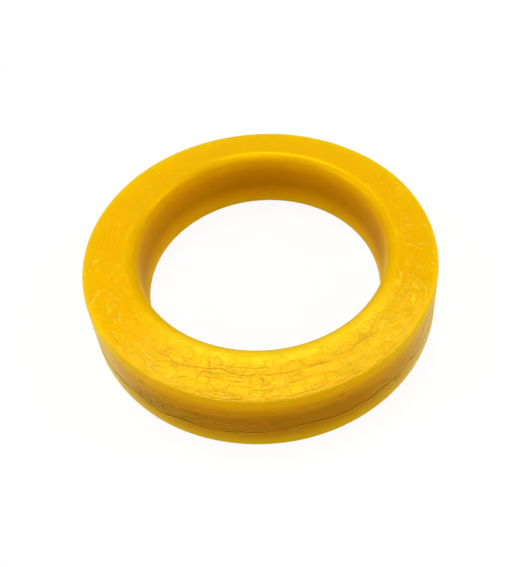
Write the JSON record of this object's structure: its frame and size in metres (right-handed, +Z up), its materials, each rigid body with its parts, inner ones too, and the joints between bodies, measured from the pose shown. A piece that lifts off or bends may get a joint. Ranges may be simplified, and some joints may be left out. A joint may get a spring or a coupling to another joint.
{
  "type": "toilet wax ring",
  "caption": "Round moulded ring of soft wax with a tapered outer wall and a wide bore, which seals a toilet bowl's outlet to the floor flange.",
  "frame": {"origin": "centre of the base, on the surface that the ring stands on", "axes": "+Z up along the axis of the bore, +X to the right and +Y away from the viewer in the picture"},
  "size_m": [0.127, 0.127, 0.0251],
  "materials": {
    "wax": "satin yellow petrolatum wax, soft to the touch, lightly creased and scuffed"
  },
  "bodies": {
    "root": {"wax_ring": "wax"}
  },
  "joints": []
}
